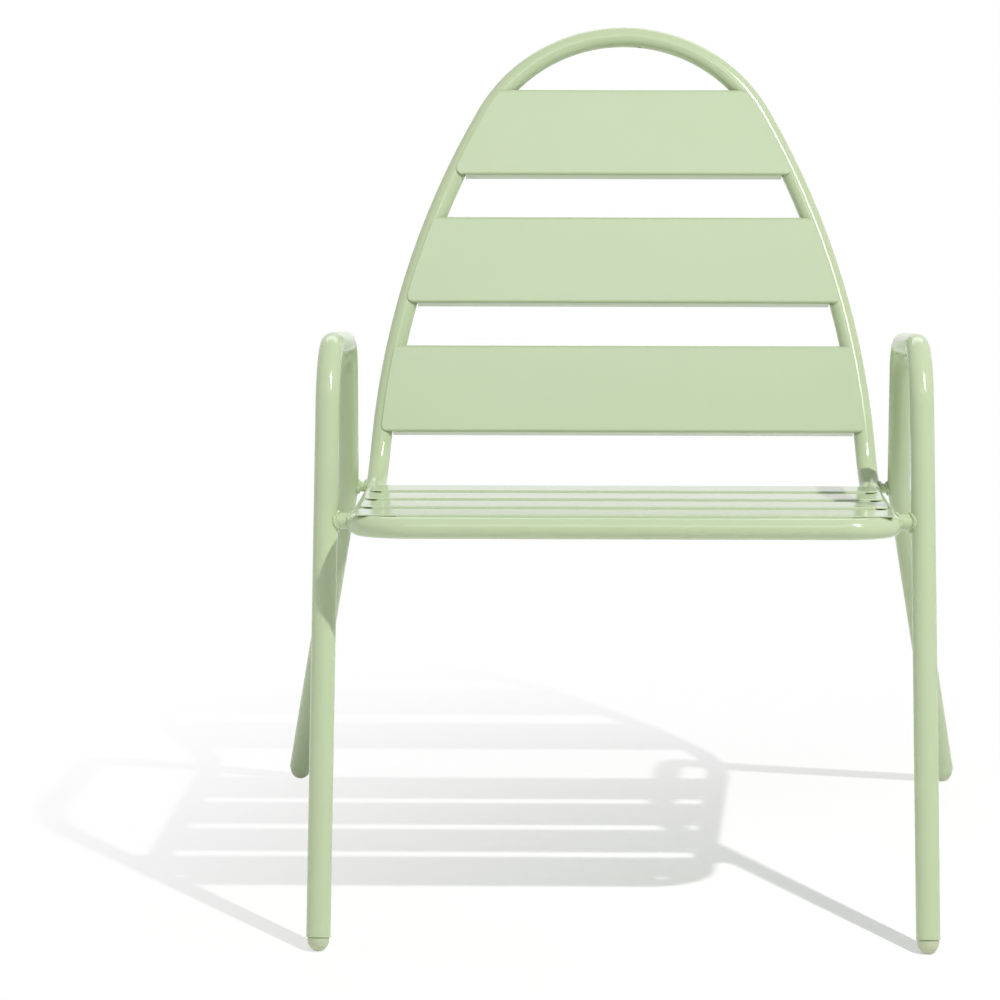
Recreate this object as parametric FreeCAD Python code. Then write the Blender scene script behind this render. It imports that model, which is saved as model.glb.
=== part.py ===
import FreeCAD, Part
import math
import os

# Garden armchair of bent steel tube with sheet-steel slats, in millimetres.
# X runs across the chair, Y from front to back and Z up from the floor.
# Left is the -X side, seen from the front. The chair is built first with the
# front tube of the seat as its guide, and moved at the end so that the origin
# lies on the floor under the middle of its box.

Vector = FreeCAD.Vector

# Tubes
LOOP_DIAMETER = 22.0
LOOP_WALL = 1.5
LEG_DIAMETER = 25.0
LEG_WALL = 1.5

# Seat, measured along its own slope from the axis of the front tube
SEAT_FRONT_HEIGHT = 436.0
SEAT_DEPTH = 472.0
SEAT_SLOPE = 8.5
SEAT_FLARE = 2.0
FRONT_CORNER_RADIUS = 50.0
REAR_BEND_RADIUS = 70.0

# Arched back, measured up its own plane from the rear corner of the seat
BACK_RISE = 514.5
BACK_RECLINE = 23.8
ARCH_TOP_RADIUS = 174.0
ARCH_SIDE_RADIUS = 915.0
ARCH_SHOULDER_ANGLE = 29.2
ARCH_FOOT_ANGLE = 4.9
VENT_DIAMETER = 4.0
VENT_OFFSET = 19.0

# Leg frames: front leg, arm and kinked rear leg in one tube
ARM_HEIGHT = 597.5
ARM_SLOPE = 11.0
ARM_TOE_IN = 7.0
ARM_BEND_RADIUS = 65.0
FRONT_LEG_RAKE = 15.9
FRONT_LEG_SPLAY = 0.7
REAR_LEG_RAKE = 23.4
REAR_LEG_SPREAD = 9.8
KNEE_RADIUS = 120.0

# Short tubes between the leg frames and the loop
FRONT_SPACER_SETBACK = 85.0
FRONT_SPACER_LENGTH = 11.6
FRONT_SPACER_DIAMETER = 17.0
REAR_SPACER_LENGTH = 7.6
REAR_SPACER_DIAMETER = 11.0
SPACER_WALL = 2.5

# Folded slats
SHEET = 1.2
FOLD_RADIUS = 3.0
FLANGE_DEPTH = 20.0
FLANGE_TO_TUBE = 1.0
SLAT_END_LAP = 1.0
SEAT_SLAT_CORNER_RADIUS = 4.0
BACK_SLAT_CORNER_RADIUS = 8.0
BACK_SLATS = ("bottom", "middle", "top")
BACK_SLAT_START = 63.9
BACK_SLAT_GAP = 47.7
HAND_GAP = 52.2
SEAT_SLATS = ("front", "second", "third", "rear")
SEAT_SLAT_GAP = 30.0
SEAT_SLAT_FRONT_GAP = 2.0
SEAT_SLAT_REAR_MARGIN = 20.0

# Push-in glides
GLIDE_CLEARANCE = 0.2
GLIDE_COLLAR = 1.5
GLIDE_FLAT = 0.6
GLIDE_STEM_LENGTH = 20.0
GLIDE_FIN_COUNT = 3
GLIDE_FIN_HEIGHT = 1.5

# Welds
WELD_GAP = 0.2
WELD_LEG = 1.8
SLAT_WELD_LENGTH = 36.0
SLAT_WELD_RADIUS = 3.4
SLAT_WELD_INSET = 6.8
SLAT_WELD_DEPTH = 1.9

loop_radius = LOOP_DIAMETER / 2
leg_radius = LEG_DIAMETER / 2
slope = math.radians(SEAT_SLOPE)
recline = math.radians(BACK_RECLINE)
shoulder = math.radians(ARCH_SHOULDER_ANGLE)
arch_foot = math.radians(ARCH_FOOT_ANGLE)

# Directions of the seat and back planes
seat_run = Vector(0, math.cos(slope), -math.sin(slope))
seat_up = Vector(0, math.sin(slope), math.cos(slope))
back_run = Vector(0, math.sin(recline), math.cos(recline))
back_out = Vector(0, -math.cos(recline), math.sin(recline))

seat_front = Vector(0, 0, SEAT_FRONT_HEIGHT)
seat_rear = seat_front + seat_run * SEAT_DEPTH


def seat_point(x, run, height=0.0):
    """A point of the seat, run back from the front tube and height above its axis."""
    return seat_front + Vector(x, 0, 0) + seat_run * run + seat_up * height


def back_point(x, rise, forward=0.0):
    """A point of the back, rise up from the seat and forward of the tube's axis."""
    return seat_rear + Vector(x, 0, 0) + back_run * rise + back_out * forward


# The arch in the back's plane: a top arc, and a wide arc down each side

top_centre_rise = BACK_RISE - ARCH_TOP_RADIUS
side_reach = ARCH_SIDE_RADIUS - ARCH_TOP_RADIUS
side_centre_x = -side_reach * math.cos(shoulder)
side_centre_rise = top_centre_rise - side_reach * math.sin(shoulder)
shoulder_rise = top_centre_rise + ARCH_TOP_RADIUS * math.sin(shoulder)


def top_arc_point(angle, out=0.0):
    """Place across and up the back on the top arc, out from its axis."""
    radius = ARCH_TOP_RADIUS + out
    return radius * math.cos(angle), top_centre_rise + radius * math.sin(angle)


def side_arc_point(angle, out=0.0):
    """Place across and up the back on the side arc, out from its axis."""
    radius = ARCH_SIDE_RADIUS + out
    return side_centre_x + radius * math.cos(angle), side_centre_rise + radius * math.sin(angle)


def arc_at(rise, out=0.0):
    """The arc that the arch follows at a height up the back."""
    return top_arc_point if rise > shoulder_rise + out * math.sin(shoulder) else side_arc_point


def angle_on(arc_point, rise, out=0.0):
    """Angle on one of the two arcs at a height up the back."""
    if arc_point is top_arc_point:
        return math.asin((rise - top_centre_rise) / (ARCH_TOP_RADIUS + out))
    return math.asin((rise - side_centre_rise) / (ARCH_SIDE_RADIUS + out))


foot_x, foot_rise = side_arc_point(arch_foot)
rear_corner_x = foot_x + foot_rise * math.tan(arch_foot)
front_corner_x = rear_corner_x + SEAT_FLARE


def side_x(run):
    """Distance of a seat side tube's axis from the middle, at a place along the seat."""
    return front_corner_x - SEAT_FLARE * run / SEAT_DEPTH


def round_corner(before, corner, after, radius):
    """Start, middle and end of the tangent arc that rounds a corner."""
    to_before = (before - corner).normalize()
    to_after = (after - corner).normalize()
    half = to_before.getAngle(to_after) / 2
    reach = radius / math.tan(half)
    middle = (to_before + to_after).normalize()
    return (corner + to_before * reach,
            corner + middle * (radius / math.sin(half) - radius),
            corner + to_after * reach)


def line(start, end):
    return Part.LineSegment(start, end).toShape()


def arc(start, middle, end):
    return Part.Arc(start, middle, end).toShape()


def bent_path(points, radii):
    """Straight runs through the points, with a tangent arc at each inner one."""
    edges = []
    start = points[0]
    for i, radius in enumerate(radii):
        arc_start, arc_middle, arc_end = round_corner(points[i], points[i + 1], points[i + 2], radius)
        edges.append(line(start, arc_start))
        edges.append(arc(arc_start, arc_middle, arc_end))
        start = arc_end
    edges.append(line(start, points[-1]))
    return edges


def tube(edges, radius, wall=0.0):
    """A round tube along tangent lines and arcs, or a solid bar where no wall is given."""
    pieces = []
    for edge in edges:
        start = edge.valueAt(edge.FirstParameter)
        direction = edge.tangentAt(edge.FirstParameter)
        circles = [Part.Wire([Part.Circle(start, direction, radius).toShape()])]
        if wall > 0:
            circles.append(Part.Wire([Part.Circle(start, direction, radius - wall).toShape()]))
        section = Part.Face(circles, "Part::FaceMakerBullseye")
        if isinstance(edge.Curve, Part.Line):
            pieces.append(section.extrude(direction * edge.Length))
        else:
            turn = math.degrees(edge.Length / edge.Curve.Radius)
            pieces.append(section.revolve(edge.Curve.Center, edge.Curve.Axis, turn))
    return pieces[0].multiFuse(pieces[1:]).removeSplitter()


def mirrored(shape):
    return shape.mirror(Vector(0, 0, 0), Vector(1, 0, 0))


def cylinder_between(start, end, radius):
    axis = end - start
    return Part.makeCylinder(radius, axis.Length, start, axis)


# Seat and back loop


def loop_half_edges():
    """The right half of the loop's axis, from the front tube to the top of the arch."""
    front_middle = seat_point(0, 0)
    front_corner = seat_point(front_corner_x, 0)
    rear_corner = back_point(rear_corner_x, 0)
    arch_start = back_point(foot_x, foot_rise)
    edges = bent_path([front_middle, front_corner, rear_corner, arch_start],
                      [FRONT_CORNER_RADIUS, REAR_BEND_RADIUS])
    shoulder_point = back_point(*side_arc_point(shoulder))
    edges.append(arc(arch_start, back_point(*side_arc_point((arch_foot + shoulder) / 2)), shoulder_point))
    top_middle_angle = (shoulder + math.pi / 2) / 2
    top_middle = back_point(*top_arc_point(top_middle_angle))
    edges.append(arc(shoulder_point, top_middle, back_point(0, BACK_RISE)))
    return edges


def loop_tube(radius, wall=0.0):
    half = tube(loop_half_edges(), radius, wall)
    return half.fuse(mirrored(half)).removeSplitter()


def vent_hole():
    """Drain and vent hole through the inner wall near the top of the arch."""
    angle = math.acos(VENT_OFFSET / ARCH_TOP_RADIUS)
    inside = back_point(*top_arc_point(angle, -2 * loop_radius))
    return cylinder_between(inside, back_point(*top_arc_point(angle)), VENT_DIAMETER / 2)


def make_loop():
    return loop_tube(loop_radius, LOOP_WALL).cut(vent_hole())


# Leg frames

front_spacer_place = seat_point(side_x(FRONT_SPACER_SETBACK), FRONT_SPACER_SETBACK)
front_leg_x = front_spacer_place.x + loop_radius + FRONT_SPACER_LENGTH + leg_radius
rear_leg_x = rear_corner_x + loop_radius + REAR_SPACER_LENGTH + leg_radius
rear_bend_start, rear_bend_middle, rear_bend_end = round_corner(
    seat_point(front_corner_x, 0), back_point(rear_corner_x, 0), back_point(foot_x, foot_rise),
    REAR_BEND_RADIUS)
rear_bend_centre = rear_bend_middle + (
    (rear_bend_start + rear_bend_end) * 0.5 - back_point(rear_corner_x, 0)).normalize() * REAR_BEND_RADIUS


def straight_down(point, rake, spread, drop):
    """The point a drop lower on a leg, raked in the side view and spread in the front view."""
    return point + Vector(drop * math.tan(math.radians(spread)), drop * math.tan(math.radians(rake)), -drop)


def leg_frame_points():
    """Axis points of the right leg frame: front foot, arm ends, knee and rear foot."""
    front_pass = Vector(front_leg_x, front_spacer_place.y, front_spacer_place.z)
    foot_height = leg_radius - GLIDE_FLAT
    front_foot = straight_down(front_pass, -FRONT_LEG_RAKE, FRONT_LEG_SPLAY, front_pass.z - foot_height)
    arm_front = straight_down(front_pass, -FRONT_LEG_RAKE, FRONT_LEG_SPLAY, front_pass.z - ARM_HEIGHT)
    rear_turn = math.radians(90 - REAR_LEG_RAKE)
    bend_direction = Vector(0, math.sin(rear_turn / 4), -math.cos(rear_turn / 4))
    knee_place = rear_bend_centre + bend_direction * REAR_BEND_RADIUS
    knee = Vector(rear_leg_x, knee_place.y, knee_place.z)
    rear_slant = math.tan(math.radians(REAR_LEG_RAKE))
    arm_slant = math.tan(math.radians(ARM_SLOPE))
    arm_rise = (arm_front.z - knee.z - arm_slant * (knee.y - arm_front.y)) / (1 - arm_slant * rear_slant)
    arm_rear = Vector(arm_front.x - ARM_TOE_IN, knee.y - arm_rise * rear_slant, knee.z + arm_rise)
    rear_foot = straight_down(knee, REAR_LEG_RAKE, REAR_LEG_SPREAD, knee.z - foot_height)
    return front_foot, arm_front, arm_rear, knee, rear_foot


front_foot, arm_front, arm_rear, knee, rear_foot = leg_frame_points()
front_foot_axis = (arm_front - front_foot).normalize()
rear_foot_axis = (knee - rear_foot).normalize()


def leg_edges():
    start = front_foot + front_foot_axis * GLIDE_COLLAR
    end = rear_foot + rear_foot_axis * GLIDE_COLLAR
    return bent_path([start, arm_front, arm_rear, knee, end],
                     [ARM_BEND_RADIUS, ARM_BEND_RADIUS, KNEE_RADIUS])


def make_leg_frame():
    return tube(leg_edges(), leg_radius, LEG_WALL)


# Glides


def make_glide(centre, axis):
    """A domed foot with a finned stem that is pushed into the open end of a leg."""
    fin_radius = leg_radius - LEG_WALL - GLIDE_CLEARANCE
    stem_radius = fin_radius - GLIDE_FIN_HEIGHT
    pitch = GLIDE_STEM_LENGTH / (GLIDE_FIN_COUNT + 1)
    outline = [Vector(0, 0, 0), Vector(leg_radius, 0, 0), Vector(leg_radius, 0, GLIDE_COLLAR),
               Vector(stem_radius, 0, GLIDE_COLLAR)]
    for i in range(GLIDE_FIN_COUNT):
        height = GLIDE_COLLAR + pitch * (i + 1)
        outline.append(Vector(stem_radius, 0, height - GLIDE_FIN_HEIGHT))
        outline.append(Vector(fin_radius, 0, height - GLIDE_FIN_HEIGHT / 2))
        outline.append(Vector(stem_radius, 0, height))
    outline.append(Vector(stem_radius, 0, GLIDE_COLLAR + GLIDE_STEM_LENGTH))
    outline.append(Vector(0, 0, GLIDE_COLLAR + GLIDE_STEM_LENGTH))
    edges = [line(a, b) for a, b in zip(outline, outline[1:] + outline[:1])]
    stem = Part.Face(Part.Wire(edges)).revolve(Vector(0, 0, 0), Vector(0, 0, 1), 360)
    tilt = FreeCAD.Placement(centre, FreeCAD.Rotation(Vector(0, 0, 1), axis))
    stem.Placement = tilt
    reach = 2 * leg_radius
    above = Part.makeBox(2 * reach, 2 * reach, reach, Vector(-reach, -reach, 0))
    above.Placement = tilt
    below = Part.makeBox(2 * reach, 2 * reach, reach, Vector(centre.x - reach, centre.y - reach, -reach))
    dome = Part.makeSphere(leg_radius, centre).cut(above).cut(below)
    return dome.fuse(stem)


# Spacers and their welds


def make_spacer(place, leg_x, diameter, loop_tool, leg_tool):
    """A short tube with both ends coped to the tubes that it joins."""
    start = Vector(place.x, place.y, place.z)
    end = Vector(leg_x, place.y, place.z)
    outside = cylinder_between(start, end, diameter / 2)
    bore = cylinder_between(start, end, diameter / 2 - SPACER_WALL)
    return outside.cut(bore).cut(loop_tool).cut(leg_tool)


def spacer_weld(place, leg_x, diameter, near_tool, wide_tool, spacer_side):
    """A bead round one end of a spacer, following the tube that it meets."""
    start = Vector(place.x + loop_radius / 2, place.y, place.z)
    end = Vector(leg_x - leg_radius / 2, place.y, place.z)
    bead_radius = diameter / 2 + WELD_LEG
    ring = cylinder_between(start, end, bead_radius).cut(
        cylinder_between(start, end, diameter / 2 + WELD_GAP))
    return ring.common(wide_tool).cut(near_tool).common(spacer_side)


# Slats

slat_underside = loop_radius + WELD_GAP
slat_face = slat_underside + SHEET


def channel_profile(width):
    """Closed section of a slat across its width: flat face and two folded flanges."""
    half = width / 2
    inner = FOLD_RADIUS - SHEET
    low = slat_face - FLANGE_DEPTH
    diagonal = math.sqrt(0.5)
    sections = []
    for side in (-1, 1):
        corner_outer = Vector(0, side * (half - FOLD_RADIUS), slat_face - FOLD_RADIUS)
        outer_middle = corner_outer + Vector(0, side * FOLD_RADIUS * diagonal, FOLD_RADIUS * diagonal)
        inner_middle = corner_outer + Vector(0, side * inner * diagonal, inner * diagonal)
        sections.append({
            "flange_out": Vector(0, side * half, low),
            "bend_out": Vector(0, side * half, slat_face - FOLD_RADIUS),
            "out_middle": outer_middle,
            "face_out": Vector(0, side * (half - FOLD_RADIUS), slat_face),
            "face_in": Vector(0, side * (half - FOLD_RADIUS), slat_underside),
            "in_middle": inner_middle,
            "bend_in": Vector(0, side * (half - SHEET), slat_face - FOLD_RADIUS),
            "flange_in": Vector(0, side * (half - SHEET), low)})
    front, rear = sections
    edges = [
        line(front["flange_out"], front["bend_out"]),
        arc(front["bend_out"], front["out_middle"], front["face_out"]),
        line(front["face_out"], rear["face_out"]),
        arc(rear["face_out"], rear["out_middle"], rear["bend_out"]),
        line(rear["bend_out"], rear["flange_out"]),
        line(rear["flange_out"], rear["flange_in"]),
        line(rear["flange_in"], rear["bend_in"]),
        arc(rear["bend_in"], rear["in_middle"], rear["face_in"]),
        line(rear["face_in"], front["face_in"]),
        arc(front["face_in"], front["in_middle"], front["bend_in"]),
        line(front["bend_in"], front["flange_in"]),
        line(front["flange_in"], front["flange_out"])]
    return Part.Face(Part.Wire(edges))


def closed_prism(edges, bottom, top):
    """The space inside a flat outline, from a lower to an upper level."""
    face = Part.Face(Part.Wire(edges))
    face.translate(Vector(0, 0, bottom))
    return face.extrude(Vector(0, 0, top - bottom))


def make_slat(width, reach, corner_radius, end_edges, inner_edges):
    """A slat lying flat: a channel cut to its outline, with shorter flanges."""
    channel = channel_profile(width)
    channel.translate(Vector(-reach, 0, 0))
    channel = channel.extrude(Vector(2 * reach, 0, 0))
    outline = closed_prism(end_edges, slat_face - 2 * FLANGE_DEPTH, slat_face + FLANGE_DEPTH)
    corners = [edge for edge in outline.Edges if is_corner(edge, width)]
    outline = outline.makeFillet(corner_radius, corners)
    flange_space = closed_prism(inner_edges, slat_face - 2 * FLANGE_DEPTH, slat_underside)
    face_space = Part.makeBox(2 * reach, width, SHEET, Vector(-reach, -width / 2, slat_underside))
    return channel.common(outline).common(flange_space.fuse(face_space))


def is_corner(edge, width):
    """Whether an edge of an outline's prism is one of its four upright corners."""
    start, end = edge.Vertexes[0].Point, edge.Vertexes[-1].Point
    upright = abs(start.z - end.z) > SHEET
    return upright and abs(abs(start.y) - width / 2) < SHEET / 10


def lay(shape, middle, across):
    """Lift a slat made flat at the origin onto the seat or the back."""
    up = Vector(1, 0, 0).cross(across)
    shape.Placement = FreeCAD.Placement(middle, FreeCAD.Rotation(Vector(1, 0, 0), across, up, "XYZ"))
    return shape


seat_slat_start = loop_radius + SEAT_SLAT_FRONT_GAP
seat_slat_end = SEAT_DEPTH - (rear_bend_start - back_point(rear_corner_x, 0)).Length - SEAT_SLAT_REAR_MARGIN
seat_slat_gaps = SEAT_SLAT_GAP * (len(SEAT_SLATS) - 1)
seat_slat_width = (seat_slat_end - seat_slat_start - seat_slat_gaps) / len(SEAT_SLATS)
back_slat_end = BACK_RISE - loop_radius - HAND_GAP
back_slat_gaps = BACK_SLAT_GAP * (len(BACK_SLATS) - 1)
back_slat_width = (back_slat_end - BACK_SLAT_START - back_slat_gaps) / len(BACK_SLATS)


def seat_slat_middle(index):
    return seat_slat_start + seat_slat_width / 2 + index * (seat_slat_width + SEAT_SLAT_GAP)


def back_slat_middle(index):
    return BACK_SLAT_START + back_slat_width / 2 + index * (back_slat_width + BACK_SLAT_GAP)


def seat_end_edges(run, width, out):
    """Outline of a seat slat whose ends lie a distance out from the side tubes' axes."""
    half = width / 2
    front_x = side_x(run - half) + out
    rear_x = side_x(run + half) + out
    corners = [Vector(-front_x, -half, 0), Vector(front_x, -half, 0),
               Vector(rear_x, half, 0), Vector(-rear_x, half, 0)]
    return [line(a, b) for a, b in zip(corners, corners[1:] + corners[:1])]


def back_end_edges(rise, width, out):
    """Outline of a back slat whose ends follow the arch, a distance out from its axis."""
    half = width / 2
    low, high = rise - half, rise + half
    shoulder_cut = shoulder_rise + out * math.sin(shoulder)
    levels = [low, shoulder_cut, high] if low < shoulder_cut < high else [low, high]
    right = []
    for bottom, top in zip(levels, levels[1:]):
        arc_point = arc_at((bottom + top) / 2, out)
        right.append([arc_spot(arc_point, level, out, rise) for level in (bottom, (bottom + top) / 2, top)])
    edges = []
    for start, middle, end in right:
        edges.append(arc(start, middle, end))
    for start, middle, end in right:
        edges.append(arc(flipped(start), flipped(middle), flipped(end)))
    edges.append(line(flipped(right[0][0]), right[0][0]))
    edges.append(line(flipped(right[-1][2]), right[-1][2]))
    return Part.__sortEdges__(edges)


def arc_spot(arc_point, level, out, rise):
    """A point of the arch at a level up the back, laid flat about a slat's middle."""
    x, height = arc_point(angle_on(arc_point, level, out), out)
    return Vector(x, height - rise, 0)


def flipped(point):
    return Vector(-point.x, point.y, point.z)


flange_inset = -(loop_radius + FLANGE_TO_TUBE)


def make_seat_slat(index):
    run = seat_slat_middle(index)
    slat = make_slat(seat_slat_width, front_corner_x + LOOP_DIAMETER, SEAT_SLAT_CORNER_RADIUS,
                     seat_end_edges(run, seat_slat_width, SLAT_END_LAP),
                     seat_end_edges(run, seat_slat_width, flange_inset))
    if index == 0:
        notch = front_flange_notch()
        slat = slat.cut(notch).cut(mirrored(notch))
    return lay(slat, seat_point(0, run), seat_run)


def front_flange_notch():
    """What the first slat's front flange leaves free for the bend of the front tube."""
    inner_radius = FRONT_CORNER_RADIUS - loop_radius - SEAT_SLAT_FRONT_GAP
    past_bend = math.sqrt(inner_radius ** 2 - (inner_radius - SHEET) ** 2)
    reach = front_corner_x - FRONT_CORNER_RADIUS + past_bend
    depth = 2 * FLANGE_DEPTH
    corner = Vector(reach, -seat_slat_width, slat_underside - depth)
    return Part.makeBox(FRONT_CORNER_RADIUS + loop_radius, seat_slat_width, depth, corner)


def make_back_slat(index):
    rise = back_slat_middle(index)
    slat = make_slat(back_slat_width, front_corner_x + LOOP_DIAMETER, BACK_SLAT_CORNER_RADIUS,
                     back_end_edges(rise, back_slat_width, SLAT_END_LAP),
                     back_end_edges(rise, back_slat_width, flange_inset))
    return lay(slat, back_point(0, rise), back_run)


# Slat welds


def slat_weld(tube_point, along, inward, outward, loop_tool):
    """A bead under a slat's end, in the wedge between the flat sheet and the round tube."""
    centre = tube_point + inward * SLAT_WELD_INSET + outward * (loop_radius - SLAT_WELD_DEPTH)
    half = along * (SLAT_WELD_LENGTH / 2)
    bead = cylinder_between(centre - half, centre + half, SLAT_WELD_RADIUS)
    size = 2 * SLAT_WELD_LENGTH
    above = Part.makeBox(size, size, size, Vector(-size / 2, -size / 2, 0))
    above.Placement = FreeCAD.Placement(tube_point + outward * loop_radius,
                                        FreeCAD.Rotation(inward, along, outward, "ZXY"))
    return bead.cut(above).cut(loop_tool)


def make_seat_slat_welds(loop_tool):
    welds = []
    for index in range(len(SEAT_SLATS)):
        run = seat_slat_middle(index)
        place = seat_point(side_x(run), run)
        weld = slat_weld(place, seat_run, Vector(-1, 0, 0), seat_up, loop_tool)
        welds.extend([weld, mirrored(weld)])
    return Part.makeCompound(welds)


def make_back_slat_welds(loop_tool):
    welds = []
    for index in range(len(BACK_SLATS)):
        rise = back_slat_middle(index)
        angle = angle_on(arc_at(rise), rise)
        place = back_point(arc_at(rise)(angle)[0], rise)
        along = Vector(-math.sin(angle), 0, 0) + back_run * math.cos(angle)
        inward = Vector(-math.cos(angle), 0, 0) - back_run * math.sin(angle)
        weld = slat_weld(place, along, inward, back_out, loop_tool)
        welds.extend([weld, mirrored(weld)])
    return Part.makeCompound(welds)


def build_nodes():
    """Every piece of the chair by its name, before it is moved to the origin."""
    loop_tool = loop_tube(loop_radius + WELD_GAP)
    loop_wide = loop_tube(loop_radius + WELD_LEG)
    leg_tool = tube(leg_edges(), leg_radius + WELD_GAP)
    leg_wide = tube(leg_edges(), leg_radius + WELD_LEG)
    spacer_rows = {
        "front": (front_spacer_place, front_leg_x, FRONT_SPACER_DIAMETER),
        "rear": (Vector(rear_corner_x, knee.y, knee.z), rear_leg_x, REAR_SPACER_DIAMETER)}

    nodes = {"seat_back_loop": make_loop()}
    right_frame = make_leg_frame()
    nodes["right_leg_frame"] = right_frame
    nodes["left_leg_frame"] = mirrored(right_frame)

    for name, (place, leg_x, diameter) in spacer_rows.items():
        spacer = make_spacer(place, leg_x, diameter, loop_tool, leg_tool)
        nodes[name + "_right_spacer"] = spacer
        nodes[name + "_left_spacer"] = mirrored(spacer)
        size = 4 * diameter
        middle_x = (place.x + loop_radius + leg_x - leg_radius) / 2
        corner = Vector(middle_x, place.y - size / 2, place.z - size / 2)
        leg_side = Part.makeBox(size, size, size, corner)
        loop_side = Part.makeBox(size, size, size, corner - Vector(size, 0, 0))
        beads = [spacer_weld(place, leg_x, diameter, loop_tool, loop_wide, loop_side),
                 spacer_weld(place, leg_x, diameter, leg_tool, leg_wide, leg_side)]
        nodes[name + "_spacer_welds"] = Part.makeCompound(beads + [mirrored(bead) for bead in beads])

    for name, centre, axis in (("front", front_foot, front_foot_axis), ("rear", rear_foot, rear_foot_axis)):
        glide = make_glide(centre, axis)
        nodes[name + "_glides"] = Part.makeCompound([glide, mirrored(glide)])

    for index, name in enumerate(SEAT_SLATS):
        nodes["seat_slat_" + name] = make_seat_slat(index)
    for index, name in enumerate(BACK_SLATS):
        nodes["back_slat_" + name] = make_back_slat(index)
    nodes["seat_slat_welds"] = make_seat_slat_welds(loop_tool)
    nodes["back_slat_welds"] = make_back_slat_welds(loop_tool)
    return nodes


box_front = front_foot.y - leg_radius
box_back = back_point(0, BACK_RISE).y + loop_radius
to_origin = Vector(0, -(box_front + box_back) / 2, 0)

os.makedirs("parts", exist_ok=True)
for name, shape in build_nodes().items():
    shape.translate(to_origin)
    shape.exportStep("parts/" + name + ".step")
    solids = len(shape.Solids)
    print(name, "solids", solids, "volume", round(shape.Volume), "valid", shape.isValid())
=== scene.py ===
"""Paint, weld beads, glides and stage of a pale green garden armchair of bent steel tube."""

import math

import bpy
from mathutils import Matrix, Vector


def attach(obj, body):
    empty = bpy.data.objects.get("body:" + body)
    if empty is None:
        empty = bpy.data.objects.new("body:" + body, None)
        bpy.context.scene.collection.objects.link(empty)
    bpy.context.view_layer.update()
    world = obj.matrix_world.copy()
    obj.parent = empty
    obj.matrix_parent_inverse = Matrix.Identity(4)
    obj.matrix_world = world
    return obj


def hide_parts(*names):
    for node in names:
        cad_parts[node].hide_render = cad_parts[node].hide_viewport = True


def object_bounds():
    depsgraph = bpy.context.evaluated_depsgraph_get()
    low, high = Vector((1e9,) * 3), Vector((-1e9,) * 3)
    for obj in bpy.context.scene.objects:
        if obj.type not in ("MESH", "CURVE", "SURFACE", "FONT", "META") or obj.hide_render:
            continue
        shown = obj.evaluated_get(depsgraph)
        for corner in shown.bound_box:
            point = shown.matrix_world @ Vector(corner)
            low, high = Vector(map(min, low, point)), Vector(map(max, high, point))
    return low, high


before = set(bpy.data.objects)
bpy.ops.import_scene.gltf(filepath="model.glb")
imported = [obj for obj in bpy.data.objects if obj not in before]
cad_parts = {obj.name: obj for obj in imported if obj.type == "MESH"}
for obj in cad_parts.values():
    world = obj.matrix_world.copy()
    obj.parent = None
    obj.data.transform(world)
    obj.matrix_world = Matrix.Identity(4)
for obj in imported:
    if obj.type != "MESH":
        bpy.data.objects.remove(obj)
cad_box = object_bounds()

bl_info = {
    "name": "Slatted Garden Armchair",
    "version": (1, 0, 0),
    "blender": (4, 5, 0),
    "location": "View3D > Sidebar > Armchair",
    "description": "Finishes the steel tubes, slats, welds and glides of a garden armchair",
    "category": "Object",
}

MM = 0.001

# Nodes of the frame by how they are made

LOOP_NODES = ("seat_back_loop",)
LEG_NODES = ("left_leg_frame", "right_leg_frame")
SPACER_NODES = ("front_left_spacer", "front_right_spacer", "rear_left_spacer", "rear_right_spacer")
SLAT_NODES = (
    "back_slat_top", "back_slat_middle", "back_slat_bottom",
    "seat_slat_front", "seat_slat_second", "seat_slat_third", "seat_slat_rear")
WELD_NODES = {
    "front_spacer_welds": "painted_tube", "rear_spacer_welds": "painted_tube",
    "seat_slat_welds": "painted_sheet", "back_slat_welds": "painted_sheet"}

# Where the glides' centres are, in mm to each side, along the chair and up, and how far the legs
# lean there: inwards and backwards on their way up

FOOT_HEIGHT = 11.9
FRONT_FOOT = (311.49, -353.05)
REAR_FOOT = (363.72, 281.97)
FRONT_LEAN = (math.radians(0.7), math.radians(15.9))
REAR_LEAN = (math.radians(9.8), math.radians(-23.4))

# Shape of a glide: how far its dome turns down to the flat tip, and in mm how its rim is rounded
# below the tube's end (steps inwards and down from there), how far above that end its first fin
# is, where a fin's slope, edge and back end above its base, and the chamfer of its stem

DOME_TURN = math.radians(84)
RIM_STEPS = ((0.0, 1.2), (0.2, 0.5), (0.8, 0.1))
FIRST_FIN = 3.0
FIN_SLOPE = 1.2
FIN_EDGE = 1.6
FIN_BACK = 1.8
STEM_CHAMFER = 1.0

# Points nearer than MERGE_MM are one, a cut takes in what is nearer than CUT_MM, and faces that
# meet at less than SMOOTH_ANGLE are shaded as one surface

MERGE_MM = 0.005
CUT_MM = 0.0001
SMOOTH_ANGLE = math.radians(35)

# A bead's lumps swell outwards from this level of their texture, so that most of them stand proud

SWELL_LEVEL = 0.3

# How deep the fine pits of a bead and the grain of a mould are, as a share of their width

PIT_DEPTH_SHARE = 1 / 6
GRAIN_DEPTH_SHARE = 1 / 10

# A cured polyester coat and polyethylene bend light alike

PLASTIC_IOR = 1.5

# Colours as sRGB hex values. The slats' sheet has the tubes' paint, painted a shade deeper as
# painted shade that holds back the stronger light on the slats, and where the coat is thicker a
# share of red, green and blue is left

POWDER_GREEN = "BDCDA6"
SHADED_SHEET_GREEN = "B6C6A1"
DEEPER_SHARE = (0.97, 0.98, 0.95, 1.0)
GLIDE_GREEN = "C0CAA8"
LAMP_WHITE = "FFFFFF"

# The floor throws FLOOR_BOUNCE back at the chair, and is seen as FLOOR_SHADED with its own glow,
# a painted glow that lifts the chair's shadow on it as painted light

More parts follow.
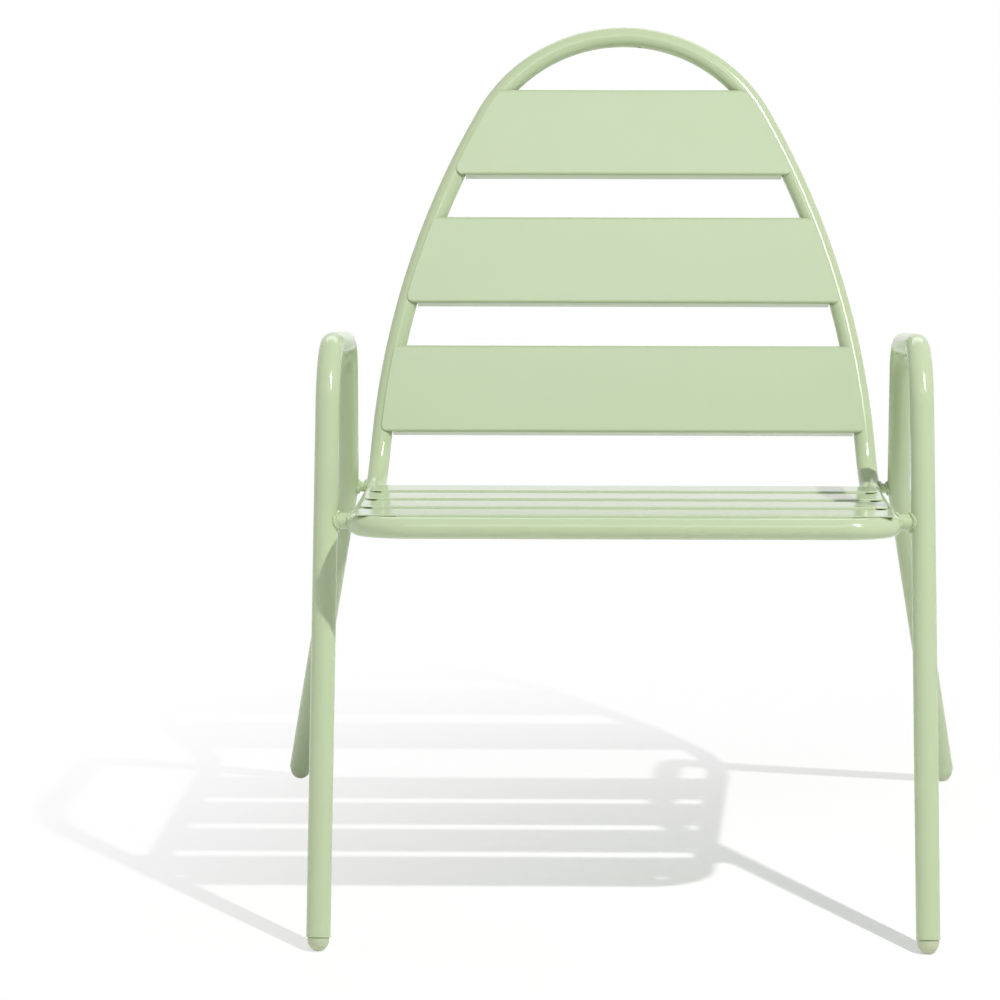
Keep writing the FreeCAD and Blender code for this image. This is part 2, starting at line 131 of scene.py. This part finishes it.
FLOOR_BOUNCE = "FAFAFA"
FLOOR_SHADED = "D7D7D7"
FLOOR_WHITE = "FFFFFF"
FLOOR_GLOW = 0.34

# The floor's shadow is deepest here, and a painted glow fades it into pure white between these
# distances, in metres, as painted light over the shadow

SHADOW_DEEPEST = (0.30, -0.35, 0.0)
FADE_START = 0.1
FADE_END = 1.34

# Where the photograph was taken from, in metres and radians, and its lens in the image's pixels

CAMERA_PLACE = (-0.0251, -5.7020, 1.7235)
CAMERA_YAW = 0.0187
CAMERA_PITCH = -0.2296
CAMERA_ROLL = 0.0012
LENS_PIXELS = 5478.2
IMAGE_PIXELS = 1000.0
SENSOR_MM = 36.0


def linear(hex_colour):
    """An sRGB hex colour as linear red, green, blue and a full alpha, by the sRGB curve."""
    values = []
    for start in (0, 2, 4):
        level = int(hex_colour[start:start + 2], 16) / 255
        values.append(level / 12.92 if level <= 0.04045 else ((level + 0.055) / 1.055) ** 2.4)
    return (*values, 1.0)


def deeper(colour):
    """The same paint where it lies a little thicker: a shade darker and greener."""
    return tuple(level * share for level, share in zip(colour, DEEPER_SHARE))


def add_node(tree, kind, settings=None, links=None):
    """A node with its settings, and its inputs set to values or linked to sockets."""
    node = tree.nodes.new(kind)
    for name, value in (settings or {}).items():
        setattr(node, name, value)
    for name, value in (links or {}).items():
        if isinstance(value, bpy.types.NodeSocket):
            tree.links.new(value, node.inputs[name])
        else:
            node.inputs[name].default_value = value
    return node


def new_material(name):
    """An empty node material with its output and the object's own coordinates."""
    material = bpy.data.materials.new(name)
    material.use_nodes = True
    tree = material.node_tree
    tree.nodes.clear()
    output = add_node(tree, "ShaderNodeOutputMaterial")
    place = add_node(tree, "ShaderNodeTexCoord").outputs["Object"]
    return material, tree, output, place


def powder_coat(name, settings, colour, pit_mm=0.0):
    """Polyester powder coat, sprayed and baked on steel.

    It flows out to a smooth half-gloss skin with a faint orange-peel ripple, which
    softens the edges of its highlights, and lies a little thicker here and there,
    which shifts its green by a shade. Over a weld it sinks into fine pits that
    glitter. Orange peel has waves of about 1 mm and the pits are finer still, so
    both are drawn coarser than they are, or they wouldn't show.
    """
    material, tree, output, place = new_material(name)
    cloud = add_node(
        tree, "ShaderNodeTexNoise", {"noise_dimensions": "3D"},
        {"Vector": place, "Scale": 1 / (settings.cloud_mm * MM), "Detail": 3.0, "Roughness": 0.55})
    shade = add_node(
        tree, "ShaderNodeMix", {"data_type": "RGBA"},
        {"Factor": cloud.outputs["Fac"], "A": deeper(colour), "B": tuple(colour)})
    peel = add_node(
        tree, "ShaderNodeTexNoise", {"noise_dimensions": "3D"},
        {"Vector": place, "Scale": 1 / (settings.peel_mm * MM), "Detail": 1.5, "Roughness": 0.5})
    bump = add_node(
        tree, "ShaderNodeBump", None,
        {"Height": peel.outputs["Fac"], "Strength": settings.peel_strength,
         "Distance": settings.peel_depth_mm * MM})
    if pit_mm:
        pits = add_node(
            tree, "ShaderNodeTexNoise", {"noise_dimensions": "3D"},
            {"Vector": place, "Scale": 1 / (pit_mm * MM), "Detail": 2.0, "Roughness": 0.6})
        bump = add_node(
            tree, "ShaderNodeBump", None,
            {"Height": pits.outputs["Fac"], "Strength": 1.0,
             "Distance": pit_mm * MM * PIT_DEPTH_SHARE, "Normal": bump.outputs["Normal"]})
    skin = add_node(
        tree, "ShaderNodeBsdfPrincipled", None,
        {"Base Color": shade.outputs["Result"], "Roughness": settings.roughness,
         "IOR": PLASTIC_IOR, "Normal": bump.outputs["Normal"]})
    tree.links.new(skin.outputs["BSDF"], output.inputs["Surface"])
    return material


def moulded_glide(settings):
    """Polyethylene, injection moulded in the frame's green.

    It is duller than the paint, with wide soft highlights and the fine even grain of
    its mould. Real grain is finer than a pixel, so it is drawn coarser, or it wouldn't
    show.
    """
    material, tree, output, place = new_material("moulded_polyethylene")
    grain = add_node(
        tree, "ShaderNodeTexNoise", {"noise_dimensions": "3D"},
        {"Vector": place, "Scale": 1 / (settings.grain_mm * MM), "Detail": 2.0})
    bump = add_node(
        tree, "ShaderNodeBump", None,
        {"Height": grain.outputs["Fac"], "Strength": 0.2,
         "Distance": settings.grain_mm * MM * GRAIN_DEPTH_SHARE})
    skin = add_node(
        tree, "ShaderNodeBsdfPrincipled", None,
        {"Base Color": tuple(settings.colour), "Roughness": settings.roughness,
         "IOR": PLASTIC_IOR, "Normal": bump.outputs["Normal"]})
    tree.links.new(skin.outputs["BSDF"], output.inputs["Surface"])
    return material


def pick_only(context, piece):
    """Select one object alone and make it the active one."""
    bpy.ops.object.select_all(action="DESELECT")
    piece.select_set(True)
    context.view_layer.objects.active = piece


def start_edit():
    """Enter edit mode with the whole mesh selected."""
    bpy.ops.object.mode_set(mode="EDIT")
    bpy.ops.mesh.select_all(action="SELECT")


def end_edit():
    """Turn all faces outwards and leave edit mode."""
    bpy.ops.mesh.select_all(action="SELECT")
    bpy.ops.mesh.normals_make_consistent(inside=False)
    bpy.ops.object.mode_set(mode="OBJECT")


def seat_piece(piece, material, slot, *nodes):
    """Finish a new piece, let it ride with the chair and stand for its CAD nodes."""
    piece.data.materials.clear()
    piece.data.materials.append(material)
    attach(piece, "root")
    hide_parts(*nodes)


def rippled_weld(context, node, settings):
    """The node's smooth bead with the lumps and ripples in which a weld pool sets.

    Real ripples are under 1 mm wide, too fine to show, so they are modelled larger.
    """
    bead_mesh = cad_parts[node].data.copy()
    piece = bpy.data.objects.new(node.replace("welds", "weld_beads"), bead_mesh)
    context.collection.objects.link(piece)
    pick_only(context, piece)
    start_edit()
    bpy.ops.mesh.remove_doubles(threshold=MERGE_MM * MM)
    end_edit()
    fine = piece.modifiers.new("fine_mesh", "REMESH")
    fine.mode = "VOXEL"
    fine.voxel_size = settings.mesh_mm * MM
    bpy.ops.object.modifier_apply(modifier=fine.name)
    lumps = bpy.data.textures.new(piece.name + "_lumps", "CLOUDS")
    lumps.noise_scale = settings.ripple_mm * MM
    lumps.noise_depth = 1
    swell = piece.modifiers.new("ripples", "DISPLACE")
    swell.texture = lumps
    swell.texture_coords = "LOCAL"
    swell.mid_level = SWELL_LEVEL
    swell.strength = settings.ripple_height_mm * MM
    bpy.ops.object.modifier_apply(modifier=swell.name)
    bpy.ops.object.shade_smooth()
    return piece


def turned_solid(context, name, sides, rings):
    """A round solid about the z axis, drawn up through rings of a radius and a height, in mm."""
    bpy.ops.object.select_all(action="DESELECT")
    radius, height = rings[0]
    bpy.ops.mesh.primitive_circle_add(
        vertices=sides, radius=radius * MM, fill_type="NGON", location=(0.0, 0.0, height * MM))
    piece = context.object
    piece.name = name
    bpy.ops.object.transform_apply(location=True, rotation=True, scale=True)
    start_edit()
    for next_radius, next_height in rings[1:]:
        rise = (next_height - height) * MM
        bpy.ops.mesh.extrude_region_move(TRANSFORM_OT_translate={"value": (0.0, 0.0, rise)})
        share = next_radius / radius
        bpy.ops.transform.resize(
            value=(share, share, 1.0), center_override=(0.0, 0.0, next_height * MM))
        radius, height = next_radius, next_height
    end_edit()
    return piece


def glide_rings(settings):
    """Radius and height of each ring of a glide about its foot point: dome, rim and finned stem."""
    dome, stem, tube_end = settings.dome_radius_mm, settings.stem_radius_mm, settings.tube_end_mm
    rings = []
    for step in range(settings.dome_rings, 0, -1):
        turn = DOME_TURN * step / settings.dome_rings
        rings.append((dome * math.cos(turn), -settings.dome_depth_mm * math.sin(turn)))
    rings.append((dome, 0.0))
    rings += [(dome - inwards, tube_end - down) for inwards, down in RIM_STEPS]
    rings.append((stem, tube_end))
    for fin in range(settings.fins):
        base = tube_end + FIRST_FIN + fin * settings.fin_pitch_mm
        rings += [
            (stem, base), (settings.fin_radius_mm, base + FIN_SLOPE),
            (settings.fin_radius_mm, base + FIN_EDGE), (stem, base + FIN_BACK)]
    top = tube_end + settings.stem_mm
    rings += [(stem, top - STEM_CHAMFER), (stem - STEM_CHAMFER, top)]
    return rings


def placed_glides(context, pattern, name, foot, lean):
    """One piece of two upright glides, leaned along their legs and worn flat on the floor."""
    foot_x, foot_y = foot
    inwards, back = lean
    copies = []
    for side in (-1.0, 1.0):
        copy = bpy.data.objects.new(name, pattern.data.copy())
        context.collection.objects.link(copy)
        axis = Vector((-side * math.tan(inwards), math.tan(back), 1.0))
        copy.location = (side * foot_x * MM, foot_y * MM, FOOT_HEIGHT * MM)
        copy.rotation_euler = axis.to_track_quat("Z", "Y").to_euler()
        pick_only(context, copy)
        bpy.ops.object.transform_apply(location=True, rotation=True, scale=True)
        start_edit()
        bpy.ops.mesh.bisect(
            plane_co=(0.0, 0.0, 0.0), plane_no=(0.0, 0.0, 1.0), clear_inner=True, use_fill=True,
            threshold=CUT_MM * MM)
        end_edit()
        bpy.ops.object.shade_smooth_by_angle(angle=SMOOTH_ANGLE)
        copies.append(copy)
    bpy.ops.object.select_all(action="DESELECT")
    for copy in copies:
        copy.select_set(True)
    context.view_layer.objects.active = copies[0]
    bpy.ops.object.join()
    return context.object


def dress(nodes, material):
    """Give CAD nodes one material, in every slot they have."""
    for name in nodes:
        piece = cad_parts.get(name)
        if piece is None:
            raise RuntimeError("the frame has no node named " + name)
        if not piece.material_slots:
            piece.data.materials.append(material)
        for slot in piece.material_slots:
            slot.material = material


def seen_directly(tree):
    """1 for what the camera sees, also by reflection or through glass, and 0 for thrown-back light."""
    path = add_node(tree, "ShaderNodeLightPath")
    seen = path.outputs["Is Camera Ray"]
    for ray in ("Is Glossy Ray", "Is Transmission Ray"):
        either = add_node(
            tree, "ShaderNodeMath", {"operation": "MAXIMUM"}, {0: seen, 1: path.outputs[ray]})
        seen = either.outputs["Value"]
    return seen


def white_floor():
    """Matt emulsion, rolled on a studio floor.

    It is dead white without a highlight, and shows the chair's soft shadow, lifted by a
    painted glow, which turns to pure white around it as painted light over the shadow.
    """
    material, tree, output, place = new_material("matt_white_floor_paint")
    seen = seen_directly(tree)
    paint = add_node(
        tree, "ShaderNodeMix", {"data_type": "RGBA"},
        {"Factor": seen, "A": linear(FLOOR_BOUNCE), "B": linear(FLOOR_SHADED)})
    matt = add_node(tree, "ShaderNodeBsdfDiffuse", None, {"Color": paint.outputs["Result"]})
    level = add_node(tree, "ShaderNodeMath", {"operation": "MULTIPLY"}, {0: seen, 1: FLOOR_GLOW})
    glow = add_node(
        tree, "ShaderNodeEmission", None,
        {"Color": linear(FLOOR_WHITE), "Strength": level.outputs["Value"]})
    glowing_paint = add_node(
        tree, "ShaderNodeAddShader", None, {0: matt.outputs["BSDF"], 1: glow.outputs["Emission"]})
    # Away from SHADOW_DEEPEST the floor turns to a pure white glow, painted light over the chair's
    # shadow
    distance = add_node(
        tree, "ShaderNodeVectorMath", {"operation": "DISTANCE"}, {0: place, 1: SHADOW_DEEPEST})
    fade = add_node(
        tree, "ShaderNodeMapRange", {"interpolation_type": "SMOOTHSTEP"},
        {"Value": distance.outputs["Value"], "From Min": FADE_START, "From Max": FADE_END})
    fade_seen = add_node(
        tree, "ShaderNodeMath", {"operation": "MULTIPLY"}, {0: fade.outputs["Result"], 1: seen})
    white = add_node(tree, "ShaderNodeEmission", None, {"Color": linear(FLOOR_WHITE)})
    both = add_node(
        tree, "ShaderNodeMixShader", None,
        {0: fade_seen.outputs["Value"], 1: glowing_paint.outputs["Shader"],
         2: white.outputs["Emission"]})
    tree.links.new(both.outputs["Shader"], output.inputs["Surface"])
    return material


def lay_floor(context, size):
    """The square floor that the chair stands on."""
    bpy.ops.object.select_all(action="DESELECT")
    bpy.ops.mesh.primitive_plane_add(size=size, location=(0.0, 0.0, 0.0))
    floor = context.object
    floor.name = "floor"
    floor.data.materials.append(white_floor())


def light_room(context, strength):
    """Even white light from all sides, which the camera and the gloss see as pure white."""
    world = bpy.data.worlds.new("white_room")
    context.scene.world = world
    world.use_nodes = True
    tree = world.node_tree
    tree.nodes.clear()
    level = add_node(
        tree, "ShaderNodeMapRange", None,
        {"Value": seen_directly(tree), "To Min": strength, "To Max": 1.0})
    sky = add_node(
        tree, "ShaderNodeBackground", None,
        {"Color": linear(LAMP_WHITE), "Strength": level.outputs["Result"]})
    output = add_node(tree, "ShaderNodeOutputWorld")
    tree.links.new(sky.outputs["Background"], output.inputs["Surface"])


def hang_lamp(context, name, place, size, power, shades=True, shines=True):
    """A softbox aimed at the middle of the chair, with or without its light and its reflection."""
    data = bpy.data.lights.new(name, "AREA")
    data.shape = "RECTANGLE"
    data.size, data.size_y = size
    data.energy = power
    data.color = linear(LAMP_WHITE)[:3]
    lamp = bpy.data.objects.new(name, data)
    lamp.location = place
    half_height = cad_box[1][2] / 2
    aim = Vector((0.0, 0.0, half_height)) - Vector(place)
    lamp.rotation_euler = aim.to_track_quat("-Z", "Y").to_euler()
    lamp.visible_diffuse = shades
    lamp.visible_glossy = shines
    context.collection.objects.link(lamp)


def place_camera(context):
    """The camera, where it stood for the photograph."""
    data = bpy.data.cameras.new("camera")
    data.sensor_width = SENSOR_MM
    data.lens = LENS_PIXELS / IMAGE_PIXELS * SENSOR_MM
    camera = bpy.data.objects.new("camera", data)
    camera.matrix_world = (
        Matrix.Translation(CAMERA_PLACE)
        @ Matrix.Rotation(CAMERA_YAW, 4, "Z")
        @ Matrix.Rotation(CAMERA_PITCH + math.pi / 2, 4, "X")
        @ Matrix.Rotation(-CAMERA_ROLL, 4, "Z"))
    context.collection.objects.link(camera)
    context.scene.camera = camera


class PowderCoatSettings(bpy.types.PropertyGroup):
    colour: bpy.props.FloatVectorProperty(
        name="Colour", description="Green of the powder coat", subtype="COLOR",
        size=4, min=0.0, max=1.0, default=linear(POWDER_GREEN))
    # The slats' green is the tubes' paint painted a shade darker, as painted shade against the
    # stronger light on the slats
    shaded_sheet_colour: bpy.props.FloatVectorProperty(
        name="Sheet colour", description="Green of the coat on flat sheet", subtype="COLOR",
        size=4, min=0.0, max=1.0, default=linear(SHADED_SHEET_GREEN))
    roughness: bpy.props.FloatProperty(
        name="Roughness", description="Width of the coat's highlights", min=0.0, max=1.0,
        default=0.15)
    cloud_mm: bpy.props.FloatProperty(
        name="Cloud size", description="Size of the slow changes in the coat's thickness, in mm",
        min=1.0, default=90.0)
    peel_mm: bpy.props.FloatProperty(
        name="Ripple size", description="Wave length of the orange-peel ripple, in mm", min=0.1,
        default=3.0)
    peel_depth_mm: bpy.props.FloatProperty(
        name="Ripple depth", description="Height of the orange-peel ripple, in mm", min=0.0,
        default=0.02)
    peel_strength: bpy.props.FloatProperty(
        name="Ripple strength", description="How much of the ripple shows", min=0.0, max=1.0,
        default=0.2)


class GlideSettings(bpy.types.PropertyGroup):
    colour: bpy.props.FloatVectorProperty(
        name="Colour", description="Green of the moulded glides", subtype="COLOR",
        size=4, min=0.0, max=1.0, default=linear(GLIDE_GREEN))
    roughness: bpy.props.FloatProperty(
        name="Roughness", description="Dullness of the moulded skin", min=0.0, max=1.0, default=0.5)
    grain_mm: bpy.props.FloatProperty(
        name="Grain", description="Size of the mould's grain, in mm", min=0.05, default=0.8)
    dome_radius_mm: bpy.props.FloatProperty(
        name="Dome radius", description="Radius of the dome where it leaves the tube, in mm",
        min=1.0, default=11.3)
    dome_depth_mm: bpy.props.FloatProperty(
        name="Dome depth", description="How far the dome reaches below the foot point, in mm",
        min=1.0, default=12.9)
    dome_rings: bpy.props.IntProperty(
        name="Dome rings", description="Rings of faces down the dome", min=3, default=12)
    tube_end_mm: bpy.props.FloatProperty(
        name="Tube end", description="Height of the tube's cut end above the foot point, in mm",
        default=1.5)
    stem_radius_mm: bpy.props.FloatProperty(
        name="Stem radius", description="Radius of the stem inside the tube, in mm", default=9.3)
    stem_mm: bpy.props.FloatProperty(
        name="Stem length", description="Length of the stem inside the tube, in mm", default=20.0)
    fins: bpy.props.IntProperty(
        name="Fins", description="Rings that grip the inside of the tube", min=1, default=3)
    fin_radius_mm: bpy.props.FloatProperty(
        name="Fin radius", description="Radius of the gripping fins, in mm", default=10.8)
    fin_pitch_mm: bpy.props.FloatProperty(
        name="Fin pitch", description="Distance from fin to fin, in mm", default=5.0)
    sides: bpy.props.IntProperty(
        name="Sides", description="Faces round a glide", min=12, default=64)


class WeldSettings(bpy.types.PropertyGroup):
    mesh_mm: bpy.props.FloatProperty(
        name="Mesh size", description="Size of the fine mesh that holds the ripples, in mm",
        min=0.1, default=0.35)
    ripple_mm: bpy.props.FloatProperty(
        name="Ripple size", description="Size of a bead's lumps, in mm", min=0.2, default=1.6)
    ripple_height_mm: bpy.props.FloatProperty(
        name="Ripple height", description="Height of a bead's lumps, in mm", min=0.0, default=2.0)
    pit_mm: bpy.props.FloatProperty(
        name="Pit size", description="Size of the fine pits in a bead, in mm", min=0.1, default=1.2)


class StageSettings(bpy.types.PropertyGroup):
    key_place: bpy.props.FloatVectorProperty(
        name="Key lamp", description="Middle of the key lamp", subtype="TRANSLATION", unit="LENGTH",
        default=(2.4, -2.60, 5.35))
    key_size: bpy.props.FloatProperty(
        name="Key lamp size", description="Side of the square key lamp", unit="LENGTH",
        default=0.11)
    key_power: bpy.props.FloatProperty(
        name="Key lamp power", description="Power of the key lamp, in watts", min=0.0,
        default=264.0)
    strip_place: bpy.props.FloatVectorProperty(
        name="Strip lamp", description="Middle of the tall strip lamp under the key",
        subtype="TRANSLATION", unit="LENGTH", default=(2.62, -3.17, 4.40))
    strip_size: bpy.props.FloatVectorProperty(
        name="Strip lamp size", description="Width and height of the strip lamp", unit="LENGTH",
        size=2, default=(0.42, 1.8))
    strip_power: bpy.props.FloatProperty(
        name="Strip lamp power", description="Power of the strip lamp, in watts", min=0.0,
        default=128.0)
    left_place: bpy.props.FloatVectorProperty(
        name="Left lamp", description="Middle of the large lamp on the shadow side",
        subtype="TRANSLATION", unit="LENGTH", default=(-4.4, -0.6, 1.5))
    left_size: bpy.props.FloatVectorProperty(
        name="Left lamp size", description="Width and height of the left lamp", unit="LENGTH",
        size=2, default=(3.6, 3.0))
    left_power: bpy.props.FloatProperty(
        name="Left lamp power", description="Power of the left lamp, in watts", min=0.0,
        default=36.0)
    front_place: bpy.props.FloatVectorProperty(
        name="Front lamp", description="Middle of the wide lamp above the camera",
        subtype="TRANSLATION", unit="LENGTH", default=(0.0, -3.62, 3.51))
    front_size: bpy.props.FloatVectorProperty(
        name="Front lamp size", description="Width and height of the front lamp", unit="LENGTH",
        size=2, default=(1.2, 1.0))
    front_power: bpy.props.FloatProperty(
        name="Front lamp power", description="Power of the front lamp, in watts", min=0.0,
        default=11.5)
    back_place: bpy.props.FloatVectorProperty(
        name="Back lamp", description="Middle of the wide lamp behind the chair",
        subtype="TRANSLATION", unit="LENGTH", default=(0.0, 4.2, 3.4))
    back_size: bpy.props.FloatVectorProperty(
        name="Back lamp size", description="Width and height of the back lamp", unit="LENGTH",
        size=2, default=(4.0, 1.6))
    back_power: bpy.props.FloatProperty(
        name="Back lamp power", description="Power of the back lamp, in watts", min=0.0,
        default=30.0)
    room_light: bpy.props.FloatProperty(
        name="Room light", description="Strength of the even light from all sides", min=0.0,
        default=0.30)
    floor_size: bpy.props.FloatProperty(
        name="Floor size", description="Side of the square floor", unit="LENGTH", default=60.0)


class ARMCHAIR_OT_coat_tubes(bpy.types.Operator):
    """Coat the bent tubes of the loop, the leg frames and the spacers"""

    bl_idname = "armchair.coat_tubes"
    bl_label = "Coat tubes"

    def execute(self, context):
        settings = context.scene.armchair_coat
        tubes = LOOP_NODES + LEG_NODES + SPACER_NODES
        dress(tubes, powder_coat("powder_coated_steel_tube", settings, settings.colour))
        return {"FINISHED"}


class ARMCHAIR_OT_coat_slats(bpy.types.Operator):
    """Coat the folded sheet slats of the seat and the back"""

    bl_idname = "armchair.coat_slats"
    bl_label = "Coat slats"

    def execute(self, context):
        settings = context.scene.armchair_coat
        # The slats take the darker sheet green, painted shade on the same paint as the tubes
        dress(SLAT_NODES, powder_coat("powder_coated_sheet_steel", settings, settings.shaded_sheet_colour))
        return {"FINISHED"}


class ARMCHAIR_OT_lay_welds(bpy.types.Operator):
    """Lay the rippled weld beads under their paint"""

    bl_idname = "armchair.lay_welds"
    bl_label = "Lay welds"

    def execute(self, context):
        coat = context.scene.armchair_coat
        beads = context.scene.armchair_welds
        material = powder_coat("powder_coated_weld", coat, coat.colour, beads.pit_mm)
        for node, slot in WELD_NODES.items():
            seat_piece(rippled_weld(context, node, beads), material, slot, node)
        return {"FINISHED"}


class ARMCHAIR_OT_mould_glides(bpy.types.Operator):
    """Mould the push-in glides with their domes and finned stems"""

    bl_idname = "armchair.mould_glides"
    bl_label = "Mould glides"

    def execute(self, context):
        settings = context.scene.armchair_glides
        material = moulded_glide(settings)
        pattern = turned_solid(context, "glide_pattern", settings.sides, glide_rings(settings))
        front = placed_glides(context, pattern, "front_foot_glides", FRONT_FOOT, FRONT_LEAN)
        rear = placed_glides(context, pattern, "rear_foot_glides", REAR_FOOT, REAR_LEAN)
        bpy.data.objects.remove(pattern)
        seat_piece(front, material, "glide", "front_glides")
        seat_piece(rear, material, "glide", "rear_glides")
        return {"FINISHED"}


class ARMCHAIR_OT_set_stage(bpy.types.Operator):
    """Lay the floor, light the room, hang the lamps and place the camera"""

    bl_idname = "armchair.set_stage"
    bl_label = "Set stage"

    def execute(self, context):
        stage = context.scene.armchair_stage
        lay_floor(context, stage.floor_size)
        light_room(context, stage.room_light)
        key_size = (stage.key_size, stage.key_size)
        hang_lamp(context, "key_lamp", stage.key_place, key_size, stage.key_power)
        hang_lamp(
            context, "strip_lamp", stage.strip_place, stage.strip_size, stage.strip_power,
            shades=False)
        hang_lamp(
            context, "left_lamp", stage.left_place, stage.left_size, stage.left_power,
            shines=False)
        hang_lamp(context, "front_lamp", stage.front_place, stage.front_size, stage.front_power)
        hang_lamp(context, "back_lamp", stage.back_place, stage.back_size, stage.back_power)
        place_camera(context)
        context.scene.view_settings.view_transform = "Standard"
        return {"FINISHED"}


class ARMCHAIR_PT_panel(bpy.types.Panel):
    """Lists the steps that finish the armchair"""

    bl_idname = "ARMCHAIR_PT_panel"
    bl_label = "Armchair"
    bl_space_type = "VIEW_3D"
    bl_region_type = "UI"
    bl_category = "Armchair"

    def draw(self, context):
        scene = context.scene
        for group_name, kind in GROUPS.items():
            for name in kind.__annotations__:
                self.layout.prop(getattr(scene, group_name), name)
        for step in STEPS:
            self.layout.operator(step.bl_idname)


GROUPS = {
    "armchair_coat": PowderCoatSettings,
    "armchair_welds": WeldSettings,
    "armchair_glides": GlideSettings,
    "armchair_stage": StageSettings,
}
STEPS = (
    ARMCHAIR_OT_coat_tubes,
    ARMCHAIR_OT_coat_slats,
    ARMCHAIR_OT_lay_welds,
    ARMCHAIR_OT_mould_glides,
    ARMCHAIR_OT_set_stage,
)


def register():
    for kind in (*GROUPS.values(), *STEPS, ARMCHAIR_PT_panel):
        bpy.utils.register_class(kind)
    for name, kind in GROUPS.items():
        setattr(bpy.types.Scene, name, bpy.props.PointerProperty(type=kind))


def unregister():
    for name in GROUPS:
        delattr(bpy.types.Scene, name)
    for kind in reversed((*GROUPS.values(), *STEPS, ARMCHAIR_PT_panel)):
        bpy.utils.unregister_class(kind)


def main():
    register()
    bpy.ops.armchair.coat_tubes()
    bpy.ops.armchair.coat_slats()
    bpy.ops.armchair.lay_welds()
    bpy.ops.armchair.mould_glides()
    bpy.ops.armchair.set_stage()


if __name__ == "__main__":
    main()
